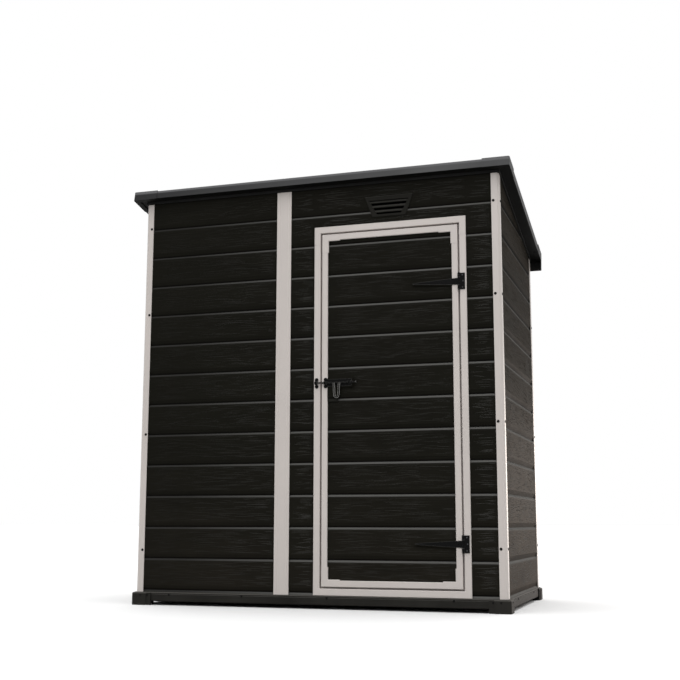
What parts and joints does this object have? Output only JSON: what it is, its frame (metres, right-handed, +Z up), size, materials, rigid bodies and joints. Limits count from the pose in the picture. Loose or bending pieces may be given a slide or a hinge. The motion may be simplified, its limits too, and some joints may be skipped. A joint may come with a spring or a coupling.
{
  "type": "pent shed",
  "caption": "Small lean-to garden shed of moulded resin boards with white posts, a hinged door with a sliding bolt, a louvred vent and a single roof falling to the back.",
  "frame": {"origin": "on the ground, in the middle of the roof's outline seen from above", "axes": "+X to the right along the front, +Y from the front to the back, +Z up"},
  "size_m": [1.934, 1.091, 2.0714],
  "materials": {
    "boards": "embossed wood grain",
    "white_trim": "satin",
    "base": "fine texture",
    "floor": "moulded tread pattern",
    "vent": "satin",
    "ironmongery": "powder coated",
    "steel_beam": "satin",
    "roof_trim": "satin",
    "roof": "fine texture"
  },
  "bodies": {
    "root": {"base_rail_front": "base", "base_rail_back": "base", "base_rail_sides": "base", "base_blocks": "base", "floor_left": "floor", "floor_right": "floor", "front_wall_left": "boards", "front_wall_beside_latch": "boards", "front_wall_beside_hinge": "boards", "front_wall_over_door": "boards", "back_wall_left": "boards", "back_wall_right": "boards", "side_wall_left": "boards", "side_wall_right": "boards", "corner_post_front_left": "white_trim", "corner_post_front_right": "white_trim", "corner_post_back_left": "white_trim", "corner_post_back_right": "white_trim", "front_joint_post": "white_trim", "back_joint_post": "white_trim", "vent_louvre": "vent", "door_jamb_latch": "white_trim", "door_jamb_hinge": "white_trim", "door_frame_sill": "white_trim", "door_frame_head": "white_trim", "door_frame_corners": "white_trim", "door_stops": "white_trim", "hinge_plates": "ironmongery", "latch_keeper": "ironmongery", "roof_panel_left": "roof", "roof_panel_right": "roof", "roof_joint_strip": "roof", "roof_beam": "steel_beam", "fascia_front": "roof_trim", "fascia_back": "roof_trim", "verge_left": "roof_trim", "verge_right": "roof_trim", "roof_caps": "roof_trim"},
    "door": {"door_panel": "boards", "door_stiles": "white_trim", "door_rails": "white_trim", "door_trim_corners": "white_trim", "hinge_straps": "ironmongery", "latch_plate": "ironmongery"},
    "bolt": {"latch_bolt": "ironmongery"}
  },
  "joints": [
    {"name": "door_hinge", "type": "hinge", "parent": "root", "child": "door", "pos_m": [0.713, -0.5085, 0.8995], "axis": [0, 0, 1], "range_deg": [0, 170]},
    {"name": "bolt_slide", "type": "slide", "parent": "door", "child": "bolt", "axis": [-1, 0, 0], "range_m": [0, 0.026]}
  ]
}
